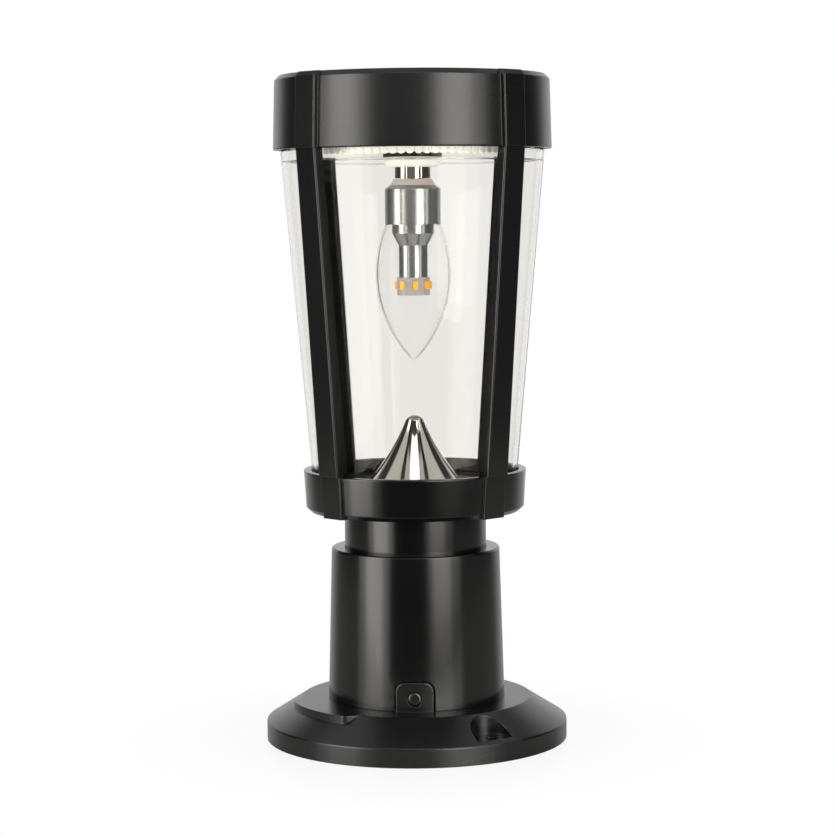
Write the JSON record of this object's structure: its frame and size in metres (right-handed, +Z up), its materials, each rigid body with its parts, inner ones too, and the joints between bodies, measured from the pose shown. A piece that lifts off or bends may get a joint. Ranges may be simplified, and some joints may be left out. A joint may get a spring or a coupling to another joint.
{
  "type": "solar post light",
  "caption": "Black solar post light: flange base, post sleeve and a tapered clear lantern with struts, a candle bulb over a chrome cone and a lift-out solar head.",
  "frame": {"origin": "middle of the flange's underside, on the lamp's axis", "axes": "+Z up along the lamp's axis, the front with a sleeve tab towards -Y"},
  "size_m": [0.15, 0.15, 0.3283],
  "materials": {
    "satin_black": "satin powder coat",
    "black_steel": "blackened",
    "zinc_steel": "bright zinc",
    "bright_chrome": "mirror plated",
    "seal_rubber": "matte",
    "clear_shade": "clear gloss",
    "bulb_glass": "clear gloss",
    "panel_board": "matte",
    "circuit_board": "solder mask",
    "silicon_cell": "dark blue cell",
    "black_plastic": "matte",
    "contact_brass": "bright",
    "pale_insulator": "matte",
    "white_carrier": "matte",
    "light_chip": "phosphor",
    "turned_aluminium": "polished",
    "cell_wrap": "shrink wrap",
    "red_wire": "matte",
    "black_wire": "matte"
  },
  "bodies": {
    "lantern": {"flange_base": "satin_black", "post_sleeve": "satin_black", "lower_housing": "satin_black", "top_ring": "satin_black", "strut_front_right": "satin_black", "strut_rear_right": "satin_black", "strut_rear_left": "satin_black", "strut_front_left": "satin_black", "sleeve_screws": "black_steel", "neck_screws": "zinc_steel", "cone_screw": "zinc_steel", "strut_screws": "zinc_steel", "cone_reflector": "bright_chrome", "shade_seal": "seal_rubber", "glass_shade": "clear_shade"},
    "solar_head": {"head_seal": "seal_rubber", "panel_tray": "satin_black", "panel_backing": "panel_board", "solar_cells": "silicon_cell", "panel_glass": "clear_shade", "ceiling_reflector": "bright_chrome", "ceiling_screws": "zinc_steel", "lamp_holder": "black_plastic", "holder_screws": "zinc_steel", "holder_collar": "bright_chrome", "holder_shell": "bright_chrome", "holder_contact": "contact_brass", "battery_cells": "cell_wrap", "battery_boxes": "black_plastic", "battery_contacts": "contact_brass", "control_board": "circuit_board", "board_parts": "black_plastic", "board_screws": "zinc_steel", "switch_body": "black_plastic", "positive_leads": "red_wire", "negative_leads": "black_wire"},
    "bulb_contact": {"bulb_tip": "contact_brass"},
    "candle_bulb": {"bulb_cap": "contact_brass", "bulb_skirt": "pale_insulator", "heat_sink": "turned_aluminium", "led_stem": "turned_aluminium", "led_ring": "white_carrier", "led_chips": "light_chip", "bulb_envelope": "bulb_glass"},
    "push_switch": {"switch_button": "black_plastic"}
  },
  "joints": [
    {"name": "head_lift", "type": "slide", "parent": "lantern", "child": "solar_head", "axis": [0, 0, 1], "range_m": [0, 0.15]},
    {"name": "bulb_travel", "type": "slide", "parent": "solar_head", "child": "bulb_contact", "axis": [0, 0, -1], "range_m": [0, 0.0101]},
    {"name": "bulb_turn", "type": "hinge", "parent": "bulb_contact", "child": "candle_bulb", "pos_m": [0, 0, 0.25], "axis": [0, 0, -1], "range_deg": [0, 1440]},
    {"name": "switch_push", "type": "slide", "parent": "solar_head", "child": "push_switch", "axis": [0, 0, 1], "range_m": [0, 0.0015], "stiffness_N_per_m": 400}
  ],
  "couplings": [
    {"joint": "bulb_turn", "follows": "bulb_travel", "rad_per_m": 2473.7}
  ]
}
